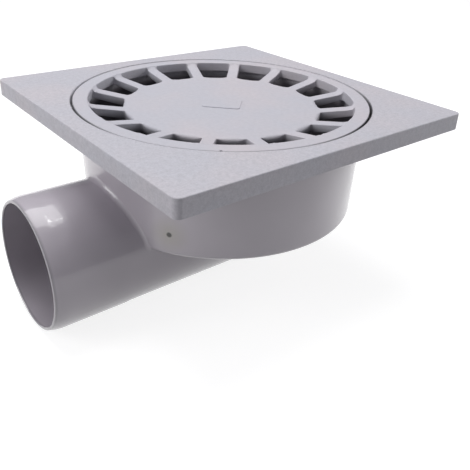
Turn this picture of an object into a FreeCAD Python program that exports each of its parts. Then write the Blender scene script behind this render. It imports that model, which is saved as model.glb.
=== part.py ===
import FreeCAD, Part

import math
import os

import Sketcher
from FreeCAD import Vector

# Square floor gully: a plate with a round dished grate, a bowl with a bell trap, and a level
# outlet spigot of a 75 mm pipe size. Every body is drawn about the bowl's upright axis, with
# height 0 at its own top, and then placed so that the origin is the centre of the spigot's
# first full circle, where the bevel of its mouth ends. +Z is up, and the spigot points
# along -X.

doc = FreeCAD.newDocument("gully_trap")
sheet = doc.addObject("Spreadsheet::Sheet", "sizes")

# Driving sizes in millimetres, turns in degrees
sizes = {
    # Floor plate
    "plate_side": 200,          # side of the square plate
    "plate_edge": 10,           # height of the skirt around the plate
    "plate_wall": 3.5,          # thickness of the plate's top
    "skirt_wall": 3,            # thickness of the skirt
    "plate_corner": 3.5,        # rounding of the upright corners
    "plate_bevel": 0.6,         # bevel of the top edge
    "web_wall": 2.5,            # thickness of a web under a corner
    "web_inset": 1,             # height from the skirt's foot up to a web's foot
    "web_spread": 17,           # angle from a corner's own web to the web beside it
    "web_root": 1.5,            # depth to which a web runs into the seat's wall and the skirt

    # Seat of the grate
    "grate_gap": 1,             # radial gap around the grate
    "grate_sink": 0.25,         # drop of the grate's rim below the plate
    "seat_wall": 3,             # wall around and under the seat

    # Bowl
    "bowl_top_radius": 85.3,    # outer radius just under the plate
    "bowl_foot_radius": 83.3,   # outer radius at the floor
    "bowl_depth": 65,           # from the plate's top to the underside of the bowl's floor
    "bowl_wall": 3,             # wall and floor of the bowl
    "foot_bevel": 2.2,          # bevel around the bowl's foot

    # Outlet and standpipe
    "outlet_radius": 37.5,      # outer radius of the spigot
    "outlet_wall": 3,           # wall of the spigot
    "outlet_reach": 129,        # from the bowl's axis to the spigot's mouth
    "outlet_drop": 74,          # from the plate's top down to the outlet's axis
    "lip_bevel": 1.5,           # radial bevel of the spigot's mouth
    "lip_run": 4,               # length of the bevel along the spigot
    "spigot_run": 44,           # from the mouth to the end of the spigot's even stretch
    "duct_radius": 37.2,        # outer radius of the duct that goes on under the bowl
    "duct_neck": 4,             # length over which the spigot narrows to the duct
    "duct_end": 37.5,           # from the bowl's axis to the outside of the duct's end wall
    "duct_bevel": 13,           # bevel around the end wall
    "standpipe_radius": 33,     # outer radius of the standpipe
    "standpipe_wall": 3,        # wall of the standpipe
    "weir_drop": 16,            # from the plate's top down to the standpipe's rim

    # Grate
    "grate_radius": 88.1,       # outer radius of the grate
    "rim_width": 8.6,           # radial width of the rim around the slots
    "rim_thickness": 6.05,      # thickness of the rim
    "rib_drop": 2.2,            # drop of a rib's outer end below the rim
    "rib_ramp": 1.5,            # run of the short ramp from a rib up to the slots' outer ends
    "rib_depth": 5.2,           # depth of a rib
    "rib_width": 7.2,           # width of a rib
    "slot_count": 16,           # slots around the grate
    "slot_turn": 1,             # turn of the ring of slots against the plate's sides
    "slot_corner": 1.2,         # rounding of a slot's corners
    "slot_land": 0.8,           # sloping land between a slot and the flat disc
    "disc_radius": 59.5,        # radius of the solid centre disc
    "disc_drop": 5.05,          # drop of the disc below the rim
    "disc_wall": 3,             # thickness of the disc
    "pad_length": 23,           # long side of the plain pad on the disc
    "pad_width": 18,            # short side of the pad
    "pad_height": 0.5,          # height of the pad
    "pad_turn": -45,            # turn of the pad against the plate's sides
    "pad_corner": 2,            # rounding of the pad's corners
    "notch_radius": 0.9,        # radius of the lifting notch in the rim
    "notch_depth": 3,           # depth of the notch
    "notch_turn": 232,          # place of the notch around the rim

    # Bell and its collar under the grate
    "collar_inset": 2.3,        # from the disc's edge in to the collar's outside
    "collar_wall": 2.5,         # wall of the collar
    "collar_depth": 6,          # height of the collar below the disc
    "bell_fit": 0.2,            # radial clearance between the collar and the bell
    "bell_wall": 2.2,           # wall and crown of the bell
    "bell_gap": 2.2,            # gap between the bell's lip and the outlet's crown
    "crown_bevel": 2,           # bevel around the bell's crown

    # Overrun of a cut past the face where it starts
    "cut_over": 1,
}
for row, (alias, amount) in enumerate(sizes.items(), start=1):
    sheet.set(f"A{row}", alias.replace("_", " "))
    sheet.set(f"B{row}", str(amount))
    sheet.setAlias(f"B{row}", alias)
doc.recompute()

# Formulas that more than one piece follows
seat_radius = "(sizes.grate_radius + sizes.grate_gap)"
seat_depth = "(sizes.rim_thickness + sizes.grate_sink)"
seat_outside = f"({seat_radius} + sizes.seat_wall)"
collar_outside = "(sizes.disc_radius - sizes.collar_inset)"
collar_inside = f"({collar_outside} - sizes.collar_wall)"
bell_radius = f"({collar_inside} - sizes.bell_fit)"
bell_top = "(sizes.grate_sink + sizes.disc_drop + sizes.disc_wall)"
crown_drop = "(sizes.outlet_drop - sizes.outlet_radius)"

# The sheet can't read its own rows as sizes.NAME, but any other object can
sizes_reader = doc.addObject("App::FeaturePython", "sizes_reader")


def number(formula):
    """Work out a formula of the sheet's sizes."""
    return float(sizes_reader.evalExpression(formula))


def new_body(name, height):
    """Start a body about the bowl's axis, with its own height 0 at the given formula."""
    body = doc.addObject("PartDesign::Body", name)
    body.Label = name
    body.setExpression("Placement.Base.x", "sizes.outlet_reach - sizes.lip_run")
    body.setExpression("Placement.Base.z", height)
    return body


def new_sketch(body, name, role, offsets=()):
    """Start a sketch on one of the body's origin planes, moved by (axis, formula) pairs."""
    sketch = body.newObject("Sketcher::SketchObject", name)
    plane = next(item for item in body.Origin.OriginFeatures if item.Role == role)
    sketch.AttachmentSupport = [(plane, "")]
    sketch.MapMode = "FlatFace"
    for axis, formula in offsets:
        sketch.setExpression(f"AttachmentOffset.{axis}", formula)
    return sketch


def bind(sketch, constraint, formula):
    """Add a constraint whose value follows a formula."""
    index = sketch.addConstraint(constraint)
    sketch.setExpression(f"Constraints[{index}]", formula)


def hold(sketch, line, end, place):
    """Hold one end of a line at a pair of formulas, or on an axis where one is 0."""
    for kind, axis_line, formula in (("DistanceX", -2, place[0]), ("DistanceY", -1, place[1])):
        if formula == "0":
            sketch.addConstraint(Sketcher.Constraint("PointOnObject", line, end, axis_line))
        else:
            bind(sketch, Sketcher.Constraint(kind, -1, 1, line, end, number(formula)), formula)


def draw_outline(sketch, corners):
    """Draw a closed outline through corners, each a pair of formulas."""
    places = [Vector(number(x), number(y), 0) for x, y in corners]
    count = len(corners)
    for k in range(count):
        sketch.addGeometry(Part.LineSegment(places[k], places[(k + 1) % count]))
    for k in range(count):
        sketch.addConstraint(Sketcher.Constraint("Coincident", k, 2, (k + 1) % count, 1))
        hold(sketch, k, 1, corners[k])


def draw_square(sketch, half_side):
    """Draw a square about the origin, from the formula for half its side."""
    low = f"-({half_side})"
    draw_outline(sketch, [(low, low), (half_side, low), (half_side, half_side), (low, half_side)])


def draw_circle(sketch, radius):
    """Draw a circle about the sketch's origin."""
    circle = sketch.addGeometry(Part.Circle(Vector(0, 0, 0), Vector(0, 0, 1), number(radius)))
    sketch.addConstraint(Sketcher.Constraint("Coincident", circle, 3, -1, 1))
    bind(sketch, Sketcher.Constraint("Radius", circle, number(radius)), radius)


def extrude(body, kind, name, sketch, length, backwards=False):
    """Pad or pocket a sketch by a formula."""
    feature = body.newObject(f"PartDesign::{kind}", name)
    feature.Profile = sketch
    feature.setExpression("Length", length)
    feature.Reversed = backwards
    doc.recompute()
    return feature


def turn(body, kind, name, sketch, axis="V_Axis"):
    """Revolve or groove a sketch by a full turn about one of its axes."""
    feature = body.newObject(f"PartDesign::{kind}", name)
    feature.Profile = sketch
    feature.ReferenceAxis = (sketch, [axis])
    feature.Angle = 360
    doc.recompute()
    return feature


def repeat(body, name, features, sketch, copies):
    """Repeat features around the sketch's normal."""
    pattern = body.newObject("PartDesign::PolarPattern", name)
    pattern.Originals = features
    pattern.Axis = (sketch, ["N_Axis"])
    pattern.Angle = 360
    pattern.setExpression("Occurrences", copies)
    body.Tip = pattern
    doc.recompute()
    return pattern


def ease_edges(body, kind, name, base, chosen, amount):
    """Round or bevel the edges of a feature that the test chooses."""
    edges = [f"Edge{k + 1}" for k, edge in enumerate(base.Shape.Edges) if chosen(edge)]
    if not edges:
        raise RuntimeError(f"{name} found no edge to ease")
    feature = body.newObject(f"PartDesign::{kind}", name)
    feature.Base = (base, edges)
    feature.setExpression("Radius" if kind == "Fillet" else "Size", amount)
    doc.recompute()
    return feature


def near(first, second):
    """Compare two lengths to a hundredth of a millimetre."""
    return abs(first - second) < 0.01


def upright_at(reach):
    """Choose the straight upright edges at this distance from the upright axis."""
    def chosen(edge):
        first, last = edge.Vertexes[0].Point, edge.Vertexes[-1].Point
        upright = near(first.x, last.x) and near(first.y, last.y)
        return upright and near(math.hypot(first.x, first.y), number(reach))
    return chosen


def build_trap_body():
    """The one-piece moulding: plate, seat, bowl, outlet with its elbow, and standpipe."""
    body = new_body("trap_body", "sizes.outlet_drop")
    add_plate(body)
    add_bowl(body)
    add_outlet(body)
    return body


def add_plate(body):
    """The square plate, open below, with its rounded corners and top edge."""
    sketch = new_sketch(body, "plate_outline", "XY_Plane")
    draw_square(sketch, "sizes.plate_side / 2")
    plate = extrude(body, "Pad", "plate", sketch, "sizes.plate_edge", backwards=True)
    corner_reach = "sizes.plate_side / 2 * sqrt(2)"
    corners = ease_edges(body, "Fillet", "plate_corners", plate, upright_at(corner_reach),
                         "sizes.plate_corner")
    ease_edges(body, "Chamfer", "plate_top_edge", corners, lies_at_top, "sizes.plate_bevel")

    sketch = new_sketch(body, "hollow_outline", "XY_Plane", [("Base.z", "-sizes.plate_edge")])
    draw_square(sketch, "sizes.plate_side / 2 - sizes.skirt_wall")
    extrude(body, "Pocket", "hollow", sketch, "sizes.plate_edge - sizes.plate_wall", backwards=True)


def lies_at_top(edge):
    """Choose the edges at height 0."""
    return all(near(vertex.Point.z, 0) for vertex in edge.Vertexes)


def draw_web(sketch, far_end):
    """Draw a web's rectangle along the sketch's X axis, from the seat's wall to the far end."""
    near_end = f"{seat_outside} - sizes.web_root"
    half_wall = "sizes.web_wall / 2"
    low = "-sizes.web_wall / 2"
    draw_outline(sketch, [(near_end, low), (far_end, low), (far_end, half_wall), (near_end, half_wall)])


def add_webs(body):
    """Three webs under each corner, between the seat's wall and the skirt."""
    inner_half = "(sizes.plate_side / 2 - sizes.skirt_wall)"
    foot = ("Base.z", "sizes.web_inset - sizes.plate_edge")
    height = "sizes.plate_edge - sizes.web_inset - sizes.plate_wall"
    webs = []
    for name, angle in (("corner", "45 deg"), ("left", "45 deg + sizes.web_spread * 1 deg"),
                        ("right", "45 deg - sizes.web_spread * 1 deg")):
        reach = f"{inner_half} / cos(45 deg - abs(45 deg - ({angle}))) + sizes.web_root"
        sketch = new_sketch(body, f"{name}_web_outline", "XY_Plane",
                            [foot, ("Rotation.Angle", angle)])
        draw_web(sketch, reach)
        webs.append(extrude(body, "Pad", f"{name}_web", sketch, height))
    repeat(body, "webs", webs, sketch, "4")


def add_bowl(body):
    """The seat's cup and the bowl, turned as one shape and then hollowed."""
    cup_foot = f"-({seat_depth} + sizes.seat_wall)"
    start = "-sizes.plate_wall"
    underside = "-sizes.bowl_depth"
    sketch = new_sketch(body, "bowl_outline", "XZ_Plane")
    draw_outline(sketch, [("0", start), (seat_outside, start), (seat_outside, cup_foot),
                          ("sizes.bowl_top_radius", cup_foot),
                          ("sizes.bowl_foot_radius", f"{underside} + sizes.foot_bevel"),
                          ("sizes.bowl_foot_radius - sizes.foot_bevel", underside), ("0", underside)])
    turn(body, "Revolution", "bowl", sketch)
    add_webs(body)

    floor_height = "sizes.bowl_wall - sizes.bowl_depth"
    sketch = new_sketch(body, "bowl_hollow_outline", "XZ_Plane")
    draw_outline(sketch, [("0", "sizes.cut_over"), (seat_radius, "sizes.cut_over"),
                          (seat_radius, f"-{seat_depth}"),
                          ("sizes.bowl_top_radius - sizes.bowl_wall", f"-{seat_depth}"),
                          ("sizes.bowl_foot_radius - sizes.bowl_wall", floor_height),
                          ("0", floor_height)])
    turn(body, "Groove", "bowl_hollow", sketch)


def add_outlet(body):
    """The level outlet, the standpipe over its closed end, and the bore through both."""
    axis_height = ("Base.y", "-sizes.outlet_drop")
    sketch = new_sketch(body, "outlet_outline", "XZ_Plane", [axis_height])
    draw_outline(sketch, [("-sizes.outlet_reach", "0"),
                          ("-sizes.outlet_reach", "sizes.outlet_radius - sizes.lip_bevel"),
                          ("sizes.lip_run - sizes.outlet_reach", "sizes.outlet_radius"),
                          ("sizes.spigot_run - sizes.outlet_reach", "sizes.outlet_radius"),
                          ("sizes.spigot_run + sizes.duct_neck - sizes.outlet_reach", "sizes.duct_radius"),
                          ("sizes.duct_end - sizes.duct_bevel", "sizes.duct_radius"),
                          ("sizes.duct_end", "sizes.duct_radius - sizes.duct_bevel"),
                          ("sizes.duct_end", "0")])
    turn(body, "Revolution", "outlet", sketch, axis="H_Axis")

    sketch = new_sketch(body, "standpipe_outline", "XY_Plane", [("Base.z", "-sizes.outlet_drop")])
    draw_circle(sketch, "sizes.standpipe_radius")
    rise = "sizes.outlet_drop - sizes.weir_drop"
    extrude(body, "Pad", "standpipe", sketch, rise)

    bore_radius = "sizes.outlet_radius - sizes.outlet_wall"
    bore_start = "-(sizes.outlet_reach + sizes.cut_over)"
    bore_end = "(sizes.duct_end - sizes.outlet_wall)"
    sketch = new_sketch(body, "outlet_bore_outline", "XZ_Plane", [axis_height])
    draw_outline(sketch, [(bore_start, "0"), (bore_start, bore_radius),
                          (f"{bore_end} - sizes.duct_bevel", bore_radius),
                          (bore_end, f"{bore_radius} - sizes.duct_bevel"), (bore_end, "0")])
    turn(body, "Groove", "outlet_bore", sketch, axis="H_Axis")

    sketch = new_sketch(body, "standpipe_bore_outline", "XY_Plane", [("Base.z", "-sizes.weir_drop")])
    draw_circle(sketch, "sizes.standpipe_radius - sizes.standpipe_wall")
    extrude(body, "Pocket", "standpipe_bore", sketch, rise)


def build_grate():
    """The dished grate: flat rim, sloping ribs below it, sunk disc, and the collar that holds the bell."""
    body = new_body("grate", "sizes.outlet_drop - sizes.grate_sink")
    rim_inner = "sizes.grate_radius - sizes.rim_width"
    disc_flat = "sizes.disc_radius - sizes.slot_land"
    ramp_foot = f"{rim_inner} - sizes.rib_ramp"
    disc_under = "-(sizes.disc_drop + sizes.disc_wall)"
    collar_foot = "-(sizes.disc_drop + sizes.disc_wall + sizes.collar_depth)"
    rib_foot = "-(sizes.disc_drop + sizes.rib_depth)"
    sketch = new_sketch(body, "grate_profile", "XZ_Plane")
    draw_outline(sketch, [("0", "-sizes.disc_drop"), (disc_flat, "-sizes.disc_drop"),
                          (ramp_foot, "-sizes.rib_drop"), (rim_inner, "0"), ("sizes.grate_radius", "0"),
                          ("sizes.grate_radius", "-sizes.rim_thickness"),
                          (rim_inner, "-sizes.rim_thickness"), (disc_flat, rib_foot),
                          (collar_outside, rib_foot), (collar_outside, collar_foot),
                          (collar_inside, collar_foot), (collar_inside, disc_under), ("0", disc_under)])
    turn(body, "Revolution", "grate_disc", sketch)
    add_slots(body)
    add_pad(body)
    add_notch(body)
    return body


def draw_slot(sketch):
    """Draw one slot about the X axis: two arcs about the grate's centre, two sides parallel to
    the ribs, and four tangent corner arcs."""
    outer = "sizes.grate_radius - sizes.rim_width"
    outer_radius, inner_radius = number(outer), number("sizes.disc_radius")
    corner = number("sizes.slot_corner")
    half_rib = number("sizes.rib_width / 2")
    half_pitch = math.pi / number("sizes.slot_count")
    along = Vector(math.cos(half_pitch), math.sin(half_pitch), 0)
    across = Vector(math.sin(half_pitch), -math.cos(half_pitch), 0)

    def corner_centre(reach):
        offset = half_rib + corner
        return along * math.sqrt(reach ** 2 - offset ** 2) + across * offset

    def arc(centre, radius, start, end):
        circle = Part.Circle(centre, Vector(0, 0, 1), radius)
        return sketch.addGeometry(Part.ArcOfCircle(circle, start, end))

    far = corner_centre(outer_radius - corner)
    close = corner_centre(inner_radius + corner)
    far_turn = math.atan2(far.y, far.x)
    close_turn = math.atan2(close.y, close.x)
    side_turn = half_pitch + math.pi / 2
    origin = Vector(0, 0, 0)
    side_start = close - across * corner
    side_end = far - across * corner

    def mirrored(place):
        return Vector(place.x, -place.y, 0)

    outer_arc = arc(origin, outer_radius, -far_turn, far_turn)
    inner_arc = arc(origin, inner_radius, -close_turn, close_turn)
    upper = sketch.addGeometry(Part.LineSegment(side_start, side_end))
    lower = sketch.addGeometry(Part.LineSegment(mirrored(side_start), mirrored(side_end)))
    upper_far = arc(far, corner, far_turn, side_turn)
    upper_close = arc(close, corner, side_turn, close_turn + math.pi)
    lower_far = arc(mirrored(far), corner, -side_turn, -far_turn)
    lower_close = arc(mirrored(close), corner, -close_turn - math.pi, -side_turn)

    joints = [(outer_arc, 2, upper_far, 1), (upper_far, 2, upper, 2), (upper, 1, upper_close, 1),
              (upper_close, 2, inner_arc, 2), (inner_arc, 1, lower_close, 1), (lower_close, 2, lower, 1),
              (lower, 2, lower_far, 1), (lower_far, 2, outer_arc, 1)]
    for joint in joints:
        sketch.addConstraint(Sketcher.Constraint("Tangent", *joint))
    for ring, radius in ((outer_arc, outer), (inner_arc, "sizes.disc_radius")):
        sketch.addConstraint(Sketcher.Constraint("Coincident", ring, 3, -1, 1))
        bind(sketch, Sketcher.Constraint("Radius", ring, number(radius)), radius)
    for side in (upper, lower):
        bind(sketch, Sketcher.Constraint("Distance", -1, 1, side, half_rib), "sizes.rib_width / 2")
    bind(sketch, Sketcher.Constraint("Angle", upper, half_pitch), "180 deg / sizes.slot_count")
    bind(sketch, Sketcher.Constraint("Angle", lower, -half_pitch), "-180 deg / sizes.slot_count")
    bind(sketch, Sketcher.Constraint("Radius", upper_far, corner), "sizes.slot_corner")
    for bend in (upper_close, lower_far, lower_close):
        sketch.addConstraint(Sketcher.Constraint("Equal", upper_far, bend))


def add_slots(body):
    """The ring of slots. Its first rib lies at the slots' turn from the X axis."""
    first_slot = ("Rotation.Angle", "180 deg / sizes.slot_count + sizes.slot_turn * 1 deg")
    top = ("Base.z", "sizes.cut_over")
    sketch = new_sketch(body, "slot_outline", "XY_Plane", [top, first_slot])
    draw_slot(sketch)
    depth = "sizes.cut_over * 2 + sizes.disc_drop + sizes.rib_depth"
    slot = extrude(body, "Pocket", "slot", sketch, depth)
    repeat(body, "slots", [slot], sketch, "sizes.slot_count")


def add_pad(body):
    """A plain raised pad in the middle of the disc."""
    sketch = new_sketch(body, "pad_outline", "XY_Plane",
                        [("Base.z", "-sizes.disc_drop"), ("Rotation.Angle", "sizes.pad_turn * 1 deg")])
    half_long, half_short = "sizes.pad_length / 2", "sizes.pad_width / 2"
    draw_outline(sketch, [(f"-{half_long}", f"-{half_short}"), (half_long, f"-{half_short}"),
                          (half_long, half_short), (f"-{half_long}", half_short)])
    pad = extrude(body, "Pad", "pad", sketch, "sizes.pad_height")
    corner_reach = "sqrt(sizes.pad_length ^ 2 + sizes.pad_width ^ 2) / 2"
    ease_edges(body, "Fillet", "pad_corners", pad, upright_at(corner_reach), "sizes.pad_corner")


def add_notch(body):
    """The small half-round notch in the rim, for a blade that lifts the grate."""
    sketch = new_sketch(body, "notch_outline", "XY_Plane",
                        [("Base.z", "sizes.cut_over"), ("Rotation.Angle", "sizes.notch_turn * 1 deg")])
    place = Vector(number("sizes.grate_radius"), 0, 0)
    radius = number("sizes.notch_radius")
    circle = sketch.addGeometry(Part.Circle(place, Vector(0, 0, 1), radius))
    hold(sketch, circle, 3, ("sizes.grate_radius", "0"))
    bind(sketch, Sketcher.Constraint("Radius", circle, radius), "sizes.notch_radius")
    extrude(body, "Pocket", "notch", sketch, "sizes.notch_depth + sizes.cut_over")


def build_trap_bell():
    """The bell: a cup held mouth down by its crown, over the standpipe."""
    body = new_body("trap_bell", f"sizes.outlet_drop - {bell_top}")
    inside = f"{bell_radius} - sizes.bell_wall"
    lip = f"{bell_top} + sizes.bell_gap - {crown_drop}"
    sketch = new_sketch(body, "bell_profile", "XZ_Plane")
    draw_outline(sketch, [("0", "0"), (f"{bell_radius} - sizes.crown_bevel", "0"),
                          (bell_radius, "-sizes.crown_bevel"), (bell_radius, lip),
                          (inside, lip), (inside, "-sizes.bell_wall"), ("0", "-sizes.bell_wall")])
    turn(body, "Revolution", "bell", sketch)
    return body


def check_and_write(parts):
    """Stop on any failed feature or solid, then write one file for each sub-part."""
    doc.recompute()
    for item in doc.Objects:
        if "Invalid" in item.State or "Error" in item.State:
            raise RuntimeError(f"{item.Name} failed: {item.State}")
        if item.TypeId in ("PartDesign::Pocket", "PartDesign::Groove"):
            if item.Shape.Volume >= item.BaseFeature.Shape.Volume:
                raise RuntimeError(f"{item.Name} cuts nothing")
    os.makedirs("parts", exist_ok=True)
    for part in parts:
        shape = part.Shape
        if shape.isNull() or not shape.isValid() or len(shape.Solids) != 1:
            raise RuntimeError(f"{part.Label} is not one valid solid")
        shape.exportStep(f"parts/{part.Label}.step")
        print(f"{part.Label}: {shape.Volume / 1000:.1f} cm3, {len(shape.Faces)} faces")


check_and_write([build_trap_body(), build_grate(), build_trap_bell()])
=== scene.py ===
# %% [markdown]
# # A floor gully in moulded plastic
# The object is a square floor gully: a plate with a round slotted grate, a bowl below it that
# holds water under a bell, and a level outlet pipe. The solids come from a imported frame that
# never moves. This file gives each of them its final skin: the rounded edges, the grain and the
# sheen that make moulded plastic look like plastic.

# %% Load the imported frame
import math

import bmesh
import bpy
import numpy as np
from mathutils import Matrix, Vector


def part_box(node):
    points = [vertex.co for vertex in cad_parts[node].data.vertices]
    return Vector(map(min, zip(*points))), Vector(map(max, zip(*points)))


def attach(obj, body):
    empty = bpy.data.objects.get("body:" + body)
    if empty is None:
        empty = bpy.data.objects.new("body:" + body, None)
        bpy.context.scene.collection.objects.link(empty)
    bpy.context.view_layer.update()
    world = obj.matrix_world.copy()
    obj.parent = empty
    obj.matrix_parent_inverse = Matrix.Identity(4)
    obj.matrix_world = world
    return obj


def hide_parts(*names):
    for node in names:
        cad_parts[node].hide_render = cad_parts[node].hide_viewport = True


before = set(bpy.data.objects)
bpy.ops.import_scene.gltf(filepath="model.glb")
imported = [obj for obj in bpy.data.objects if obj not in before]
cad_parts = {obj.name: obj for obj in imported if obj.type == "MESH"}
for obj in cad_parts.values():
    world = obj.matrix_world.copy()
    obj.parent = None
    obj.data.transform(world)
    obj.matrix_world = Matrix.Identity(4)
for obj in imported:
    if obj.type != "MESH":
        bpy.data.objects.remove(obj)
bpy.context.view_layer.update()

# %% [markdown]
# ## Where things are
# Every sketch below is in millimetres about the bowl's upright axis, with height 0 at the top of
# the plate, because that is how a drawing of such a gully is dimensioned. The frame says where
# that point lies, so nothing has to be typed twice.

# %% Reference point and main sizes
MM = 0.001
grate_low, grate_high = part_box("grate")
body_low, body_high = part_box("trap_body")
bowl_axis = Vector(((grate_low.x + grate_high.x) / 2, 0, body_high.z))

plate_half = (body_high.y - body_low.y) / 2 / MM
plate_edge = 10.0
plate_wall = 3.5
skirt_wall = 3.0
plate_corner = 3.5
seat_radius = 89.1
seat_depth = 6.3
seat_wall = 3.0
bowl_top_radius = 85.3
bowl_foot_radius = 83.3
bowl_depth = 65.0
bowl_wall = 3.0
outlet_drop = 74.0
outlet_radius = 37.5
outlet_wall = 3.0
mouth = (body_low.x - bowl_axis.x) / MM
print(f"plate half side {plate_half:.1f} mm, spigot's mouth at {mouth:.1f} mm from the bowl's axis")


def to_frame(place):
    """Turn a place in the drawing's millimetres into the frame's metres."""
    return bowl_axis + Vector(place) * MM


# %% [markdown]
# ## Shells from rings
# A turned or boxed moulding can be drawn as a stack of closed rings, like the contour lines of a
# map: join each ring to the next with quads and a clean, watertight skin comes out, with points
# exactly where a rounding needs them. A ring here is either round or a square with rounded
# corners, and both have their points at the same compass angles, so a square plate can run into
# a round seat without a seam.

# %% Compass angles that suit a square with rounded corners
CORNER_STEPS = 8
SIDE_STEPS = 58


def square_ring(inset, height):
    """A square with rounded corners, drawn in by an inset from the plate's edge."""
    half = plate_half - inset
    radius = max(plate_corner - inset, 0.4)
    centre = half - radius
    points = []
    for side in range(4):
        turn = Matrix.Rotation(math.radians(90) * side, 3, "Z")
        for k in range(CORNER_STEPS + 1):
            angle = math.radians(90) * k / CORNER_STEPS
            corner = Vector((centre + radius * math.cos(angle), centre + radius * math.sin(angle), 0))
            points.append(turn @ corner)
        start = math.atan2(plate_half, plate_half - plate_corner)
        end = math.radians(180) - start
        for k in range(1, SIDE_STEPS):
            angle = start + (end - start) * k / SIDE_STEPS
            points.append(turn @ Vector((half / math.tan(angle), half, 0)))
    return [Vector((point.x, point.y, height)) for point in points]


compass = [math.atan2(point.y, point.x) for point in square_ring(0, 0)]
print(f"{len(compass)} compass angles, shared by square and round rings")


def round_ring(radius, height, angles=None):
    """A circle about the upright axis."""
    used = angles or compass
    return [Vector((radius * math.cos(a), radius * math.sin(a), height)) for a in used]


def even_angles(count):
    """Angles spread evenly round a circle."""
    return [2 * math.pi * k / count for k in range(count)]


# %% [markdown]
# Roundings are what sell a moulding: light catches them as thin bright lines. The helper below
# walks round a quarter circle and hands back how far to step sideways and how far to step up.

# %% Quarter-circle roundings
def right_angle(steps):
    """Even turns from 0 to a right angle."""
    return [math.radians(90) * k / steps for k in range(steps + 1)]


def quarter(radius, steps=4):
    """Steps round a quarter circle, as (distance left to run, distance risen) pairs."""
    return [(radius * (1 - math.sin(a)), radius * (1 - math.cos(a))) for a in right_angle(steps)]


print("a rounding of 1 mm:", [(round(run, 2), round(rise, 2)) for run, rise in quarter(1)])

# %% [markdown]
# Two more helpers turn points into objects: one links a mesh at the origin, and one joins rings
# into a closed skin.

# %% From rings to a skin
TINY_WELD = 0.001 * MM


def add_object(name, data):
    """Link a mesh, a lamp or a camera to the scene as an object at the origin."""
    made = bpy.data.objects.new(name, data)
    bpy.context.scene.collection.objects.link(made)
    return made


def add_mesh(name, mesh):
    """Turn a finished bmesh into an object."""
    data = bpy.data.meshes.new(name)
    mesh.to_mesh(data)
    mesh.free()
    return add_object(name, data)


def loft(name, rings, place=to_frame):
    """Join rings into a closed skin. A ring of one point is a pole."""
    mesh = bmesh.new()
    rows = [[mesh.verts.new(place(point)) for point in ring] for ring in rings]
    for lower, upper in zip(rows, rows[1:]):
        count = max(len(lower), len(upper))
        for k in range(count):
            after = (k + 1) % count
            corners = [lower[k % len(lower)], lower[after % len(lower)],
                       upper[after % len(upper)], upper[k % len(upper)]]
            mesh.faces.new(list(dict.fromkeys(corners)))
    bmesh.ops.remove_doubles(mesh, verts=mesh.verts, dist=TINY_WELD)
    bmesh.ops.recalc_face_normals(mesh, faces=mesh.faces)
    return add_mesh(name, mesh)


# %% [markdown]
# ## The moulding: plate, seat and bowl
# On the real gully the plate, the seat of the grate and the bowl are one shot of plastic about
# 3 mm thick. Walking round its cross-section gives the rings in order: from the middle of the
# bowl's floor up the inside, over the seat and the plate, down the skirt and back under it to
# the bowl's outside and foot.

# %% Plate and bowl
EDGE = 0.6
SEAT_EDGE = 0.5
BREAK = 0.3
FOOT = 3.0
SUMP = 2.0


def bowl_radius(height):
    """Outside radius of the bowl's wall at a height."""
    share = (height + seat_depth + seat_wall) / (seat_depth + seat_wall + FOOT - bowl_depth)
    return bowl_top_radius + (bowl_foot_radius - bowl_top_radius) * share


def build_shell():
    """The plate, seat and bowl as one closed skin."""
    floor = bowl_wall - bowl_depth
    inner_foot = bowl_foot_radius - bowl_wall
    cup = seat_radius + seat_wall
    cup_foot = -(seat_depth + seat_wall)
    rings = [[Vector((0, 0, floor))]]
    rings += [round_ring(radius, floor) for radius in (15, 32, 50, 66)]
    rings += [round_ring(inner_foot - SUMP + SUMP * math.sin(a), floor + SUMP - SUMP * math.cos(a))
              for a in right_angle(4)]
    rings += [round_ring(bowl_top_radius - bowl_wall, -seat_depth)]
    rings += [round_ring(seat_radius - BREAK, -seat_depth), round_ring(seat_radius, -seat_depth + BREAK)]
    rings += [round_ring(seat_radius + SEAT_EDGE * (1 - math.cos(a)), -SEAT_EDGE * (1 - math.sin(a)))
              for a in right_angle(4)]
    rings += [square_ring(run, -drop) for run, drop in quarter(EDGE)]
    rings += [square_ring(0, BREAK - plate_edge), square_ring(BREAK, -plate_edge)]
    rings += [square_ring(skirt_wall - BREAK, -plate_edge), square_ring(skirt_wall, BREAK - plate_edge)]
    rings += [square_ring(skirt_wall, -plate_wall), round_ring(cup, -plate_wall)]
    rings += [round_ring(cup, cup_foot), round_ring(bowl_top_radius, cup_foot)]
    rings += [round_ring(bowl_radius(z), z) for z in (-20, -32, -44, -55)]
    rings += [round_ring(bowl_foot_radius - FOOT + FOOT * math.cos(a),
                         FOOT - bowl_depth - FOOT * math.sin(a)) for a in right_angle(6)]
    rings += [round_ring(radius, -bowl_depth) for radius in (62, 42, 20)]
    rings += [[Vector((0, 0, -bowl_depth))]]
    return loft("moulding", rings)


moulding = build_shell()
print(f"plate and bowl: {len(moulding.data.polygons)} faces")

# %% [markdown]
# ## The outlet
# The pipe lies level and its crown cuts into the bowl. A lathe profile turned about the pipe's
# own axis gives its outside, and a second one its bore. The mouth has a long lead-in bevel, so
# that a socket slides on, and the far end under the bowl is closed by a rounded wall.

# %% Pipe, bore and standpipe
PIPE_ANGLES = even_angles(168)
LIP_RUN = 8.0
LIP_BEVEL = 1.5
LIP_SHARES = (0.04, 0.12, 0.25, 0.38, 0.52, 0.68, 0.84, 1)
LIP_BREAK = 0.4
SPIGOT_RUN = 44.0
DUCT_NECK = 4.0
DUCT_RADIUS = 37.2
DUCT_END = 37.5
END_ROUNDING = 17.0
STANDPIPE = 33.0
STANDPIPE_WALL = 3.0
STANDPIPE_RIM = STANDPIPE_WALL / 2 - 0.1
STANDPIPE_ANGLES = even_angles(128)
WEIR = -16.0
print(f"standpipe's rim {-WEIR} mm below the plate's top, spigot {SPIGOT_RUN} mm long")


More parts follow.
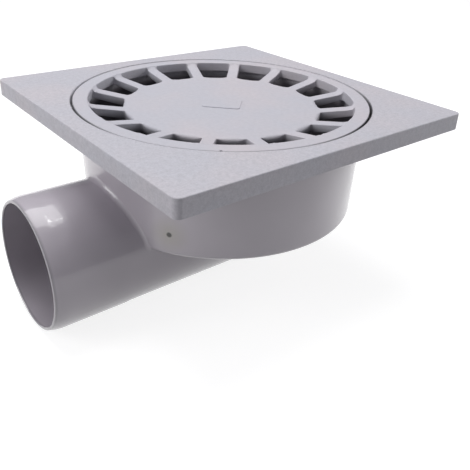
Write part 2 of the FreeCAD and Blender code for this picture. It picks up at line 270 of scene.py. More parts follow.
def pipe_ring(reach, radius):
    """A circle about the outlet's axis."""
    return [Vector((reach, radius * math.sin(a), radius * math.cos(a) - outlet_drop)) for a in PIPE_ANGLES]


def rounded_end(reach, radius, rounding):
    """Rings of a closed end, from its wall to the axis."""
    rings = [pipe_ring(reach - rounding + rounding * math.sin(a), radius - rounding + rounding * math.cos(a))
             for a in right_angle(10)]
    return rings + [[Vector((reach, 0, -outlet_drop))]]


def build_outlet():
    """The outside of the pipe, from the mouth to the closed end."""
    rings = [[Vector((mouth, 0, -outlet_drop))], pipe_ring(mouth, outlet_radius - LIP_BEVEL - LIP_BREAK)]
    rings += [pipe_ring(mouth + LIP_RUN * t, outlet_radius - LIP_BEVEL * (1 - t) ** 2) for t in LIP_SHARES]
    neck = mouth + SPIGOT_RUN
    rings += [pipe_ring(neck, outlet_radius), pipe_ring(neck + DUCT_NECK, DUCT_RADIUS)]
    rings += [pipe_ring(0, DUCT_RADIUS)]
    return loft("outlet", rings + rounded_end(DUCT_END, DUCT_RADIUS, END_ROUNDING))


def build_bore():
    """The hollow inside the pipe, drawn past its mouth."""
    bore = outlet_radius - outlet_wall
    rings = [[Vector((mouth - 1, 0, -outlet_drop))], pipe_ring(mouth - 1, bore + LIP_BREAK)]
    rings += [pipe_ring(mouth, bore + LIP_BREAK), pipe_ring(mouth + LIP_BREAK, bore)]
    return loft("bore", rings + rounded_end(DUCT_END - outlet_wall, bore, END_ROUNDING))


# %% Standpipe and its hollow
def build_standpipe():
    """The upright pipe inside the bowl, with its rounded rim."""
    angles, rim = STANDPIPE_ANGLES, STANDPIPE_RIM
    rings = [[Vector((0, 0, -outlet_drop))], round_ring(STANDPIPE, -outlet_drop, angles)]
    rings += [round_ring(STANDPIPE - rim + rim * math.cos(a), WEIR - rim + rim * math.sin(a), angles)
              for a in right_angle(5)]
    return loft("standpipe", rings + [[Vector((0, 0, WEIR))]])


def build_standpipe_bore():
    """The hollow inside the standpipe, widening at its rim."""
    angles, rim = STANDPIPE_ANGLES, STANDPIPE_RIM
    bore = STANDPIPE - STANDPIPE_WALL
    rings = [[Vector((0, 0, -outlet_drop))], round_ring(bore, -outlet_drop, angles)]
    rings += [round_ring(bore + rim - rim * math.cos(a), WEIR - rim + rim * math.sin(a), angles)
              for a in right_angle(5)]
    rings += [round_ring(bore + rim, WEIR + 1, angles), [Vector((0, 0, WEIR + 1))]]
    return loft("standpipe_bore", rings)


# %% [markdown]
# Where the pipe meets the bowl the mould has a soft fillet. A fillet is the track of a ball that
# rolls in the corner and touches both walls, so the ball is what gets modelled: two functions
# say how far a place is from each wall, a few steps of correction seat the ball so that both
# distances equal its radius, and the arc between its two touching points is the fillet.

# %% Distance to each wall
FILLET = 3.0
PROBE = 0.01
SEATING_ROUNDS = 12


def bowl_gap(place):
    """Distance from a place to the bowl's outside."""
    radius, foot_height = math.hypot(place.x, place.y), FOOT - bowl_depth
    if place.z > foot_height:
        return radius - bowl_radius(place.z)
    if radius < bowl_foot_radius - FOOT:
        return -bowl_depth - place.z
    return math.hypot(radius - bowl_foot_radius + FOOT, place.z - foot_height) - FOOT


def outlet_gap(place):
    """Distance from a place to the outside of the pipe."""
    radius = math.hypot(place.y, place.z + outlet_drop)
    end = DUCT_END - END_ROUNDING
    if place.x < end:
        neck = (place.x - mouth - SPIGOT_RUN) / DUCT_NECK
        return radius - outlet_radius + (outlet_radius - DUCT_RADIUS) * min(max(neck, 0), 1)
    if radius < DUCT_RADIUS - END_ROUNDING:
        return place.x - DUCT_END
    return math.hypot(place.x - end, radius - DUCT_RADIUS + END_ROUNDING) - END_ROUNDING


def away(gap, place):
    """Direction in which a distance grows fastest."""
    steps = (Vector((PROBE, 0, 0)), Vector((0, PROBE, 0)), Vector((0, 0, PROBE)))
    return Vector([gap(place + step) - gap(place - step) for step in steps]).normalized()


def seat_ball(place):
    """Move a ball's centre until it touches both walls."""
    for _ in range(SEATING_ROUNDS):
        a, b = away(bowl_gap, place), away(outlet_gap, place)
        miss_a, miss_b = FILLET - bowl_gap(place), FILLET - outlet_gap(place)
        lean = a.dot(b)
        push = 1 / (1 - lean * lean)
        place = place + (a * (miss_a - lean * miss_b) + b * (miss_b - lean * miss_a)) * push
    return place


print(f"middle of the mouth to the bowl: {bowl_gap(Vector((mouth, 0, -outlet_drop))):.1f} mm")

# %% The fillet as a closed strip
ARC_PARTS = 7
SUNK_END = 0.03
SUNK_BACK = 1.0


def build_fillet():
    """The fillet round the junction, with its back sunk into both walls."""
    reach, low = outlet_radius + FILLET, -bowl_depth - FILLET
    over = [math.radians(-80 + 160 * k / 60) for k in range(61)]
    guesses = [Vector((-80, reach * math.sin(a), reach * math.cos(a) - outlet_drop)) for a in over]
    side = [-68 + 86 * k / 24 for k in range(25)]
    guesses += [Vector((x, reach, low)) for x in side]
    guesses += [Vector((20 + 20 * math.cos(a), (reach - 2) * math.sin(a), low))
                for a in (math.radians(80 - 160 * k / 40) for k in range(41))]
    guesses += [Vector((x, -reach, low)) for x in reversed(side)]
    rings = []
    for ball in map(seat_ball, guesses):
        to_bowl, to_pipe = -away(bowl_gap, ball), -away(outlet_gap, ball)
        corner = (to_bowl + to_pipe).normalized()
        reaches = [FILLET + (SUNK_END if k in (0, ARC_PARTS) else 0) for k in range(ARC_PARTS + 1)]
        arc = [ball + to_bowl.slerp(to_pipe, k / ARC_PARTS) * length for k, length in enumerate(reaches)]
        rings.append(arc + [ball + corner * (FILLET / corner.dot(to_bowl) + SUNK_BACK)])
    return loft("fillet", rings + rings[:1])


# %% [markdown]
# ## Repeating with Geometry Nodes
# The webs under the plate come in four equal groups, and the grate is sixteen equal slots. Both
# are one drawn piece, repeated round the upright axis. A small node tree does that for any piece:
# points at the centre, one instance on each, each turned a little further than the last. It
# ends by making the instances real, welding what touches and setting the material.

# %% A node tree that repeats a piece round the axis
def ring_tree():
    """Build the tree: Geometry and Copies in, the welded ring out."""
    tree = bpy.data.node_groups.new("ring_of_pieces", "GeometryNodeTree")
    tree.interface.new_socket("Geometry", in_out="INPUT", socket_type="NodeSocketGeometry")
    tree.interface.new_socket("Copies", in_out="INPUT", socket_type="NodeSocketInt")
    tree.interface.new_socket("Weld Distance", in_out="INPUT", socket_type="NodeSocketFloat")
    tree.interface.new_socket("Material", in_out="INPUT", socket_type="NodeSocketMaterial")
    tree.interface.new_socket("Geometry", in_out="OUTPUT", socket_type="NodeSocketGeometry")
    nodes, links = tree.nodes, tree.links
    source = nodes.new("NodeGroupInput")
    result = nodes.new("NodeGroupOutput")

    points = nodes.new("GeometryNodePoints")
    links.new(source.outputs["Copies"], points.inputs["Count"])
    step = nodes.new("ShaderNodeMath")
    step.operation = "DIVIDE"
    step.inputs[0].default_value = 2 * math.pi
    links.new(source.outputs["Copies"], step.inputs[1])
    index = nodes.new("GeometryNodeInputIndex")
    angle = nodes.new("ShaderNodeMath")
    angle.operation = "MULTIPLY"
    links.new(index.outputs[0], angle.inputs[0])
    links.new(step.outputs[0], angle.inputs[1])
    turn = nodes.new("ShaderNodeCombineXYZ")
    links.new(angle.outputs[0], turn.inputs["Z"])

    instances = nodes.new("GeometryNodeInstanceOnPoints")
    links.new(points.outputs[0], instances.inputs["Points"])
    links.new(source.outputs["Geometry"], instances.inputs["Instance"])
    links.new(turn.outputs[0], instances.inputs["Rotation"])
    real = nodes.new("GeometryNodeRealizeInstances")
    links.new(instances.outputs[0], real.inputs[0])
    weld = nodes.new("GeometryNodeMergeByDistance")
    links.new(real.outputs[0], weld.inputs["Geometry"])
    links.new(source.outputs["Weld Distance"], weld.inputs["Distance"])
    finish = nodes.new("GeometryNodeSetMaterial")
    links.new(weld.outputs[0], finish.inputs["Geometry"])
    links.new(source.outputs["Material"], finish.inputs["Material"])
    links.new(finish.outputs[0], result.inputs["Geometry"])
    return tree


RING = ring_tree()
WELD = 0.02 * MM
print(f"{RING.name}: {len(RING.nodes)} nodes")


# %% Repeat a piece and make it plain
def plain_mesh(made):
    """Replace an object's mesh and modifiers by the evaluated result."""
    bpy.context.view_layer.update()
    seen = made.evaluated_get(bpy.context.evaluated_depsgraph_get())
    data = bpy.data.meshes.new_from_object(seen)
    made.modifiers.clear()
    made.data = data
    return made


def repeat_round(made, copies, material=None):
    """Repeat a piece round the upright axis, then move the ring to the bowl's axis."""
    modifier = made.modifiers.new("ring", "NODES")
    modifier.node_group = RING
    values = {"Copies": copies, "Weld Distance": WELD, "Material": material}
    for item in RING.interface.items_tree:
        if item.in_out == "INPUT" and item.name in values:
            modifier[item.identifier] = values[item.name]
    plain_mesh(made)
    made.data.transform(Matrix.Translation(bowl_axis))
    return made


def about_axis(place):
    """Millimetres to metres, still about the bowl's axis."""
    return Vector(place) * MM


# %% [markdown]
# ## Webs under the corners
# Three thin webs run from the seat's wall to the skirt under each corner and stop the plate from
# curling as it cools. One group of three is drawn for the corner at 45 degrees.

# %% Webs
WEB_WALL = 2.5
WEB_SPREAD = 17.0
WEB_FOOT = 1.0 - plate_edge
WEB_SUNK = 1.5
WEB_SUNK_TOP = 0.5


def build_webs():
    """The four groups of three webs."""
    mesh = bmesh.new()
    inner_half = plate_half - skirt_wall
    for side in (-1, 0, 1):
        reach = inner_half / math.cos(math.radians(45 - WEB_SPREAD * abs(side))) + WEB_SUNK
        turn = Matrix.Rotation(math.radians(45 + WEB_SPREAD * side), 3, "Z")
        start = seat_radius + seat_wall - WEB_SUNK
        size = Vector((reach - start, WEB_WALL, -plate_wall + WEB_SUNK_TOP - WEB_FOOT))
        box = bmesh.ops.create_cube(mesh, size=1)["verts"]
        for vert in box:
            place = Vector(a * b for a, b in zip(vert.co, size))
            place += Vector(((start + reach) / 2, 0, WEB_FOOT + size.z / 2))
            vert.co = (turn @ place) * MM
    return repeat_round(add_mesh("webs", mesh), 4)


# %% [markdown]
# ## Joining the moulding
# Pipe, standpipe and webs are one piece with the bowl, so they are joined with exact booleans:
# first everything solid is added, then both bores are cut through it. The skin that is left has
# the true curve where the pipe meets the bowl.

# %% Join and cut
def combine(target, operation, tool):
    """Add or cut one closed skin, and delete the tool."""
    modifier = target.modifiers.new(operation, "BOOLEAN")
    modifier.operation = operation
    modifier.solver = "EXACT"
    modifier.object = tool
    plain_mesh(target)
    bpy.data.objects.remove(tool)
    return target


for part in (build_outlet(), build_standpipe(), build_webs(), build_fillet()):
    combine(moulding, "UNION", part)
for hollow in (build_bore(), build_standpipe_bore()):
    combine(moulding, "DIFFERENCE", hollow)
print(f"moulding: {len(moulding.data.polygons)} faces after joining")

# %% [markdown]
# ## The grate
# The grate is dished: a flat rim, ribs that start a little below it and slope down, and a solid
# disc. It repeats every 22.5 degrees, so one slice with a single slot is enough. The slot's
# outline is drawn as four runs with rounded corners. Drawing the same outline a little wider
# gives the top of its rounded edge, and the slice's own border is the outline spread to the
# middle of the ribs.

# %% Slice sizes
SLOTS = 16
HALF_PITCH = math.pi / SLOTS
SLOT_TURN = math.radians(1.0)
GRATE_TOP = (grate_high.z - body_high.z) / MM
GRATE_RADIUS = (grate_high.y - grate_low.y) / 2 / MM
SLOT_OUTER = 79.5
SLOT_INNER = 59.5
HALF_RIB = 3.6
SLOT_CORNER = 1.2
LAND = 0.8
RIB_DROP = 2.2
RIB_RAMP = 1.5
DISC_DROP = 5.05
DISC_WALL = 3.0
RIB_DEPTH = 5.2
RIM_DEPTH = 6.05
SLOT_EDGE = 0.55
RIM_EDGE = 0.5
COLLAR_OUTER = 57.2
COLLAR_INNER = 54.7
COLLAR_DEPTH = 6.0
print(f"{SLOTS} slots from {SLOT_INNER} to {SLOT_OUTER} mm, rim {GRATE_RADIUS - SLOT_OUTER:.1f} mm wide")

# %% The slot's outline
ARC_STEPS = 8
SIDE_RUN = 6
BEND_STEPS = 4


def flat(radius, angle):
    """A place on the ground plane, by distance and turn."""
    return Vector((radius * math.cos(angle), radius * math.sin(angle), 0))


def slot_outline(spread):
    """The slot's outline, made wider all round, as four runs that each start mid-corner."""
    along = Vector((math.cos(HALF_PITCH), math.sin(HALF_PITCH), 0))
    across = Vector((math.sin(HALF_PITCH), -math.cos(HALF_PITCH), 0))
    offset = HALF_RIB + SLOT_CORNER
    radius = SLOT_CORNER + spread

    def bend_centre(reach):
        return along * math.sqrt(reach ** 2 - offset ** 2) + across * offset

    close = bend_centre(SLOT_INNER + SLOT_CORNER)
    far = bend_centre(SLOT_OUTER - SLOT_CORNER)
    close_turn = math.atan2(close.y, close.x)
    far_turn = math.atan2(far.y, far.x)
    side_turn = HALF_PITCH + math.pi / 2

    def bend(centre, start, end, first, last):
        steps = [start + (end - start) * k / BEND_STEPS for k in range(first, last + 1)]
        return [centre + flat(radius, a) for a in steps]

    half = BEND_STEPS // 2
    inner_half = bend(close, close_turn + math.pi, side_turn, 0, half)
    outer_half = bend(far, side_turn, far_turn, half, BEND_STEPS)
    side = bend(close, close_turn + math.pi, side_turn, half, BEND_STEPS)
    side_end = bend(far, side_turn, far_turn, 0, half)
    side += [side[-1].lerp(side_end[0], k / SIDE_RUN) for k in range(1, SIDE_RUN)] + side_end

    def arc(radius_used, turn):
        steps = [-turn + 2 * turn * k / ARC_STEPS for k in range(1, ARC_STEPS)]
        return [flat(radius_used, a) for a in steps]

    def mirrored(points):
        return [Vector((p.x, -p.y, 0)) for p in points]

    inner = mirrored(inner_half)[::-1] + arc(SLOT_INNER - spread, close_turn) + inner_half
    outer = outer_half + arc(SLOT_OUTER + spread, far_turn)[::-1] + mirrored(outer_half)[::-1]
    return [inner, side, outer, mirrored(side)[::-1]]


# %% The slice's border
def shares(run):
    """How far along its run each point lies, from 0 to 1."""
    steps = [0.0]
    for first, second in zip(run, run[1:]):
        steps.append(steps[-1] + (second - first).length)
    return [step / steps[-1] for step in steps]


def border(low=SLOT_INNER - LAND):
    """The slice's border round the slot, point for point with the outline, from radius low out."""
    inner, side, outer, other = (shares(run) for run in slot_outline(0))
    high = SLOT_OUTER + LAND
    return [[flat(low, HALF_PITCH * (2 * u - 1)) for u in inner],
            [flat(low + (high - low) * u, HALF_PITCH) for u in side],
            [flat(high, HALF_PITCH * (1 - 2 * u)) for u in outer],
            [flat(high + (low - high) * u, -HALF_PITCH) for u in other]]


def closed(runs):
    """Chain runs into one loop without doubled ends."""
    return [point for run in runs for point in run[:-1]]


# %% [markdown]
# The slice's heights come from how far a point is from the centre. On top a short ramp leads down
# from the rim to the ribs, and from there top and underside slope gently to the disc. Where a
# slot meets the disc its upper edge is rounded more than elsewhere.

# %% Heights of the slice
DISC_EDGE_MORE, DISC_EDGE_FADE = 1.7, 0.3
TOP = ((SLOT_INNER - LAND, -DISC_DROP), (SLOT_OUTER - RIB_RAMP, -RIB_DROP), (SLOT_OUTER, 0))
UNDER = ((SLOT_INNER - LAND, -DISC_DROP - RIB_DEPTH), (SLOT_OUTER, -RIM_DEPTH))


def lifted(points, profile, drop=0.0):
    """Give a flat loop the heights of a profile drawn outward from the centre."""
    radii, heights = zip(*profile)
    levels = [float(np.interp(math.hypot(p.x, p.y), radii, heights)) - drop for p in points]
    return [Vector((p.x, p.y, level)) for p, level in zip(points, levels)]


def smooth(share):
    """Ease from 0 to 1, held at both ends."""
    share = min(max(share, 0.0), 1.0)
    return share * share * (3 - 2 * share)


def rounded_outline(run, drop):
    """One loop of the rounding along a slot's upper edge, which is wider where the disc starts."""
    loops = slot_outline(SLOT_EDGE - run)
    grown, drops = [], []
    for point, share in zip(loops[0], shares(loops[0])):
        amount = smooth(min(share, 1 - share) / DISC_EDGE_FADE) * DISC_EDGE_MORE / SLOT_EDGE
        inward = Vector((point.x, point.y, 0)).normalized() * (SLOT_EDGE - run) * amount
        grown.append(point - inward)
        drops.append(drop * (1 + amount))
    raised = lifted(closed([grown] + loops[1:]), TOP)
    drops = drops[:-1] + [drop] * (len(raised) - len(grown) + 1)
    return [point - Vector((0, 0, deep)) for point, deep in zip(raised, drops)]


# %% [markdown]
# Now the slice is lofted like the bowl, ring by ring, and wedges of disc, collar and rim close it.

# %% One slice of the grate
DISC_RADII = (36, 20)
RIM_BREAK = 0.4
SLICE_WELD = 0.01 * MM


def build_slice():
    """One slot with its half ribs and its wedges of disc and rim, about the axis."""
    mesh = bmesh.new()
    edge = [(SLOT_EDGE * math.sin(a), SLOT_EDGE * (1 - math.cos(a))) for a in right_angle(4)]
    flat_edge = SLOT_INNER - SLOT_EDGE - DISC_EDGE_MORE - 0.2
    loops = [lifted(closed(border(flat_edge)), TOP)]
    loops += [rounded_outline(run, drop) for run, drop in edge]
    loops += [lifted(closed(slot_outline(0)), UNDER, -BREAK), lifted(closed(slot_outline(BREAK)), UNDER)]
    loops += [lifted(closed(border()), UNDER)]
    rows = [[mesh.verts.new(about_axis(p)) for p in loop] for loop in loops]
    for first, second in zip(rows, rows[1:]):
        for k in range(len(first)):
            after = (k + 1) % len(first)
            mesh.faces.new([first[k], first[after], second[after], second[k]])

    inner_angles = [math.atan2(p.y, p.x) for p in border()[0]]
    outer_angles = [math.atan2(p.y, p.x) for p in border()[2]]
    low, high = SLOT_INNER - LAND, SLOT_OUTER + LAND
    disc_foot = -DISC_DROP - DISC_WALL
    collar_foot = disc_foot - COLLAR_DEPTH
    disc_top = [(radius, -DISC_DROP) for radius in (flat_edge, 48, *DISC_RADII)]
    disc_under = [(low, UNDER[0][1]), (COLLAR_OUTER, UNDER[0][1]), (COLLAR_OUTER, collar_foot + BREAK),
                  (COLLAR_OUTER - BREAK, collar_foot), (COLLAR_INNER + BREAK, collar_foot),
                  (COLLAR_INNER, collar_foot + BREAK), (COLLAR_INNER, disc_foot)]
    disc_under += [(radius, disc_foot) for radius in DISC_RADII]
    rim = [(high, 0)]
    rim += [(GRATE_RADIUS - run, -drop) for run, drop in quarter(RIM_EDGE, 3)]
    rim += [(GRATE_RADIUS, RIM_BREAK - RIM_DEPTH), (GRATE_RADIUS - RIM_BREAK, -RIM_DEPTH),
            (high, -RIM_DEPTH)]

    def wedge(profile, angles):
        grid = [[mesh.verts.new(about_axis((r * math.cos(a), r * math.sin(a), z))) for a in angles]
                for r, z in profile]
        for first, second in zip(grid, grid[1:]):
            for k in range(len(angles) - 1):
                mesh.faces.new([first[k], first[k + 1], second[k + 1], second[k]])
        return grid[-1]

    wedge(rim, outer_angles)
    for profile in (disc_top, disc_under):
        last = wedge(profile, inner_angles)
        pole = mesh.verts.new(about_axis((0, 0, profile[-1][1])))
        for first, second in zip(last, last[1:]):
            mesh.faces.new([first, second, pole])
    bmesh.ops.remove_doubles(mesh, verts=mesh.verts, dist=SLICE_WELD)
    return add_mesh("grate_skin", mesh)


grate_slice = build_slice()
grate_slice.data.transform(Matrix.Rotation(HALF_PITCH + SLOT_TURN, 4, "Z"))
grate = repeat_round(grate_slice, SLOTS)
grate.data.transform(Matrix.Translation((0, 0, GRATE_TOP * MM)))


# %% Closed and facing outward
SKIN_WELD = 0.005 * MM


def face_outward(made):
    """Weld doubles and turn every face of a closed skin outward."""
    mesh = bmesh.new()
    mesh.from_mesh(made.data)
    bmesh.ops.remove_doubles(mesh, verts=mesh.verts, dist=SKIN_WELD)
    bmesh.ops.recalc_face_normals(mesh, faces=mesh.faces)
    open_edges = sum(1 for edge in mesh.edges if len(edge.link_faces) != 2)
    mesh.to_mesh(made.data)
    mesh.free()
    print(f"{made.name}: {len(made.data.polygons)} faces, {open_edges} open edges")


# %% [markdown]
# In the middle of the disc lies a plain raised pad with rounded corners, and the rim has one
# small notch for a blade that lifts the grate. The pad is a few rings again, and the notch is
# a thin round rod cut out of the rim.

# %% Pad and notch
PAD_HALF = (11.5, 9.0)
PAD_CORNER = 2.0
PAD_HEIGHT = 0.5
PAD_EDGE, PAD_EDGE_MIDDLE = 0.2, 0.06
PAD_TURN = math.radians(-45)
NOTCH_RADIUS = 0.9
NOTCH_DEPTH = 3.0
NOTCH_TURN = math.radians(232)


def pad_ring(inset, height):
    """The pad's outline, drawn in by an inset."""
    radius = PAD_CORNER - inset
    points = []
    for side, (sx, sy) in enumerate(((1, 1), (-1, 1), (-1, -1), (1, -1))):
        centre = Vector((sx * (PAD_HALF[0] - PAD_CORNER), sy * (PAD_HALF[1] - PAD_CORNER), 0))
        for k in range(7):
            angle = math.radians(90) * (side + k / 6)
            points.append(centre + Vector((math.cos(angle), math.sin(angle), 0)) * radius)
    turn = Matrix.Rotation(PAD_TURN, 3, "Z")
    return [turn @ Vector((p.x, p.y, height)) for p in points]


pad_foot = GRATE_TOP - DISC_DROP - 1
pad_top = GRATE_TOP - DISC_DROP + PAD_HEIGHT
pad_rings = [[Vector((0, 0, pad_foot))], pad_ring(0, pad_foot), pad_ring(0, pad_top - PAD_EDGE)]
pad_rings += [pad_ring(PAD_EDGE_MIDDLE, pad_top - PAD_EDGE_MIDDLE), pad_ring(PAD_EDGE, pad_top)]
pad = loft("pad", pad_rings + [[Vector((0, 0, pad_top))]])

notch_centre = Vector((math.cos(NOTCH_TURN), math.sin(NOTCH_TURN), 0)) * GRATE_RADIUS


def rod_ring(height):
    """A circle about the notch's own axis."""
    return [point + notch_centre for point in round_ring(NOTCH_RADIUS, height, even_angles(24))]


rod_low, rod_high = GRATE_TOP - NOTCH_DEPTH, 1.0
rod = loft("rod", [[notch_centre + Vector((0, 0, rod_low))], rod_ring(rod_low), rod_ring(rod_high),
                   [notch_centre + Vector((0, 0, rod_high))]])
face_outward(grate)
combine(grate, "UNION", pad)
combine(grate, "DIFFERENCE", rod)

# %% [markdown]
# ## The bell
# Nothing of the bell shows from above, but it is what makes this a trap: a cup held mouth down
# by the grate's collar, over the standpipe. Water stands between them and keeps smells out.

# %% Bell
bell_low, bell_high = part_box("trap_bell")
BELL_RADIUS = (bell_high.y - bell_low.y) / 2 / MM
BELL_WALL = 2.2
BELL_TOP = (bell_high.z - body_high.z) / MM
BELL_LIP = (bell_low.z - body_high.z) / MM
BELL_BREAK = 0.4
CROWN = 3.0
CROWN_INSIDE = 1.0


def build_bell():
    """The bell as one closed skin, from the middle of its crown inside and out."""
    angles = even_angles(160)
    inside = BELL_RADIUS - BELL_WALL
    under = BELL_TOP - BELL_WALL
    rings = [[Vector((0, 0, under))]] + [round_ring(r, under, angles) for r in (20, 38)]
    rings += [round_ring(inside - CROWN_INSIDE * (1 - math.sin(a)), under - CROWN_INSIDE * (1 - math.cos(a)),
                         angles) for a in right_angle(4)]
    rings += [round_ring(inside, BELL_LIP + BELL_BREAK, angles)]
    rings += [round_ring(inside + BELL_BREAK, BELL_LIP, angles)]
    rings += [round_ring(BELL_RADIUS - BELL_BREAK, BELL_LIP, angles)]
    rings += [round_ring(BELL_RADIUS, BELL_LIP + BELL_BREAK, angles)]
    rings += [round_ring(BELL_RADIUS - CROWN + CROWN * math.cos(a), BELL_TOP - CROWN + CROWN * math.sin(a),
                         angles) for a in right_angle(6)]
    rings += [round_ring(r, BELL_TOP, angles) for r in (38, 20)] + [[Vector((0, 0, BELL_TOP))]]
    return loft("bell_skin", rings)


bell = build_bell()
print(f"bell: {2 * BELL_RADIUS:.1f} mm wide, {BELL_TOP - BELL_LIP:.1f} mm high")

# %% [markdown]
# ## Plastic
# The whole gully is one light grey, faintly violet PVC. What differs is the finish: the mould is
# grained where people step, so the plate and the grate scatter light, and polished elsewhere, so
# the bowl and the pipe keep a soft sheen. Broad, faint patches of warmer and cooler grey stop the
# colour from looking like paint. All patterns read Object coordinates, which are metres here, so
# a scale of 1000 means one cell for each millimetre.

# %% Node helpers
def node(tree, kind, inputs=None, **settings):
    """Add a node, set its properties, and set or link its inputs."""
    made = tree.nodes.new(kind)
    for name, value in settings.items():
        setattr(made, name, value)
    for name, value in (inputs or {}).items():
        socket = made.inputs[name]
        if isinstance(value, bpy.types.NodeSocket):
            tree.links.new(value, socket)
        else:
            socket.default_value = value
    return made


def noise(tree, place, scale, detail=2.0):
    """The grey value of a noise pattern."""
    made = node(tree, "ShaderNodeTexNoise", {"Vector": place, "Scale": scale, "Detail": detail})
    return made.outputs["Fac"]


def ramp(tree, value, low, high, to_low, to_high):
    """Stretch a value from one range to another, held at both ends."""
    made = node(tree, "ShaderNodeMapRange", {"Value": value, "From Min": low, "From Max": high,
                                             "To Min": to_low, "To Max": to_high})
    return made.outputs["Result"]


def blend(tree, share, first, second):
    """Mix two colours by a share."""
    made = node(tree, "ShaderNodeMix", data_type="RGBA")
    tree.links.new(share, made.inputs["Factor"])
    for socket, value in ((made.inputs[6], first), (made.inputs[7], second)):
        if isinstance(value, bpy.types.NodeSocket):
            tree.links.new(value, socket)
        else:
            socket.default_value = value
    return made.outputs[2]


def maths(tree, operation, first, second=0.0):
    """One step of arithmetic."""
    return node(tree, "ShaderNodeMath", {0: first, 1: second}, operation=operation).outputs[0]


def times(tree, first, *others):
    """Multiply values."""
    for other in others:
        first = maths(tree, "MULTIPLY", first, other)
    return first


# %% Material helpers
def blank_material(name):
    """A material with an empty node tree."""
    material = bpy.data.materials.new(name)
    material.use_nodes = True
    material.node_tree.nodes.clear()
    return material


def show(tree, shader, output="ShaderNodeOutputMaterial"):
    """Send a shader to the tree's output."""
    tree.links.new(shader.outputs[0], node(tree, output).inputs["Surface"])


# %% [markdown]
# Painted shade darkens the gap round the grate and everything that lies below the slots.
# In the gap the shade is a faint line all round and thick in two stretches, one at the front right
# and one at the left, over painted light on the gap's walls. Masks in the part's own coordinates place it.

# %% Painted shade and light in the gap and below the slots
# Colour of the painted shade in the gap and below the slots.
PAINTED_SHADE = (0.030, 0.028, 0.034, 1)
# How dark the painted shade below the slots gets at its deepest.
DEEP_SHADE = 0.9
GAP_MIDDLE = (GRATE_RADIUS + seat_radius) / 2 * MM
GAP_HALF, GAP_FADE = 0.8 * MM, 0.3 * MM
# Strength of the painted shade in the gap: faint all round, stronger in the two stretches.
FAINT_GAP_SHADE = 0.1
RIGHT_GAP_SHADE, LEFT_GAP_SHADE = 0.9, 0.6
RIGHT_TURN, LEFT_TURN = 300, 170
# Colour of the painted light on the gap's walls.
GAP_PAINTED_LIGHT = (0.80, 0.79, 0.83, 1)
TOP_HEIGHT = bowl_axis.z
BOWL_FLOOR = bowl_axis.z - (bowl_depth - bowl_wall) * MM


def about_bowl(tree, place):
    """Distance from the bowl's axis, and the turn round it in degrees from 0 to 360."""
    ground = node(tree, "ShaderNodeVectorMath", {0: place, 1: (1, 1, 0)}, operation="MULTIPLY").outputs[0]
    offset = node(tree, "ShaderNodeVectorMath", {0: ground, 1: (bowl_axis.x, bowl_axis.y, 0)},
                  operation="SUBTRACT").outputs[0]
    distance = node(tree, "ShaderNodeVectorMath", {0: offset}, operation="LENGTH").outputs["Value"]
    parts = node(tree, "ShaderNodeSeparateXYZ", {"Vector": offset}).outputs
    turn = maths(tree, "ARCTAN2", times(tree, parts["Y"], -1.0), times(tree, parts["X"], -1.0))
    return distance, ramp(tree, turn, -math.pi, math.pi, 0, 360)


def band(tree, value, middle, half, fade):
    """1 within half of the middle, 0 further off."""
    far = maths(tree, "ABSOLUTE", maths(tree, "SUBTRACT", value, middle))
    return ramp(tree, far, half, half + fade, 1, 0)


def gap_light_and_shade(tree, distance, turn, height, colour):
    """Paint light on the walls of the gap round the grate, then a line of painted shade along it."""
    # Painted shade in the gap, strongest in two stretches.
    right = times(tree, band(tree, turn, RIGHT_TURN, 10, 35), RIGHT_GAP_SHADE)
    left = times(tree, band(tree, turn, LEFT_TURN, 10, 20), LEFT_GAP_SHADE)
    amount = maths(tree, "MAXIMUM", maths(tree, "MAXIMUM", right, left), FAINT_GAP_SHADE)
    near_top = ramp(tree, height, TOP_HEIGHT - 7.5 * MM, TOP_HEIGHT - 7 * MM, 0, 1)
    gap = times(tree, band(tree, distance, GAP_MIDDLE, GAP_HALF, GAP_FADE), near_top)
    below = ramp(tree, height, TOP_HEIGHT - 0.8 * MM, TOP_HEIGHT - 0.3 * MM, 1, 0)
    # Painted light on the gap's walls below their rounding.
    colour = blend(tree, times(tree, gap, below), colour, GAP_PAINTED_LIGHT)
    # Painted shade along the gap.
    return blend(tree, times(tree, gap, amount), colour, PAINTED_SHADE)


def painted_deep_shade(tree, distance, height, colour, radius, start, end):
    """Paint shade on what lies within a radius in metres, from a start to an end depth in millimetres."""
    # Painted shade, darker with depth below the slots.
    inside = ramp(tree, distance, radius, radius + 0.2 * MM, 1, 0)
    above_floor = ramp(tree, height, BOWL_FLOOR, BOWL_FLOOR + 2 * MM, 0, 1)
    deep = ramp(tree, height, TOP_HEIGHT - end * MM, TOP_HEIGHT - start * MM, DEEP_SHADE, 0)
    return blend(tree, times(tree, inside, above_floor, deep), colour, PAINTED_SHADE)


# %% [markdown]
# The bowl carries a few marks of its own: a dark speck with a yellowish halo. Painted shade darkens
# the mouth's edge and the pipe's underside.

# %% Marks and painted shade on the bowl and pipe
# The grey of the painted shade on the mouth's edge and along the pipe's underside.
PAINTED_EDGE_SHADE = (0.20, 0.19, 0.21, 1)
HALO = (0.42, 0.40, 0.30, 1)
SPECK = (0.02, 0.018, 0.015, 1)
SPECK_PLACE = to_frame((-69.2, -47.1, -51.9))


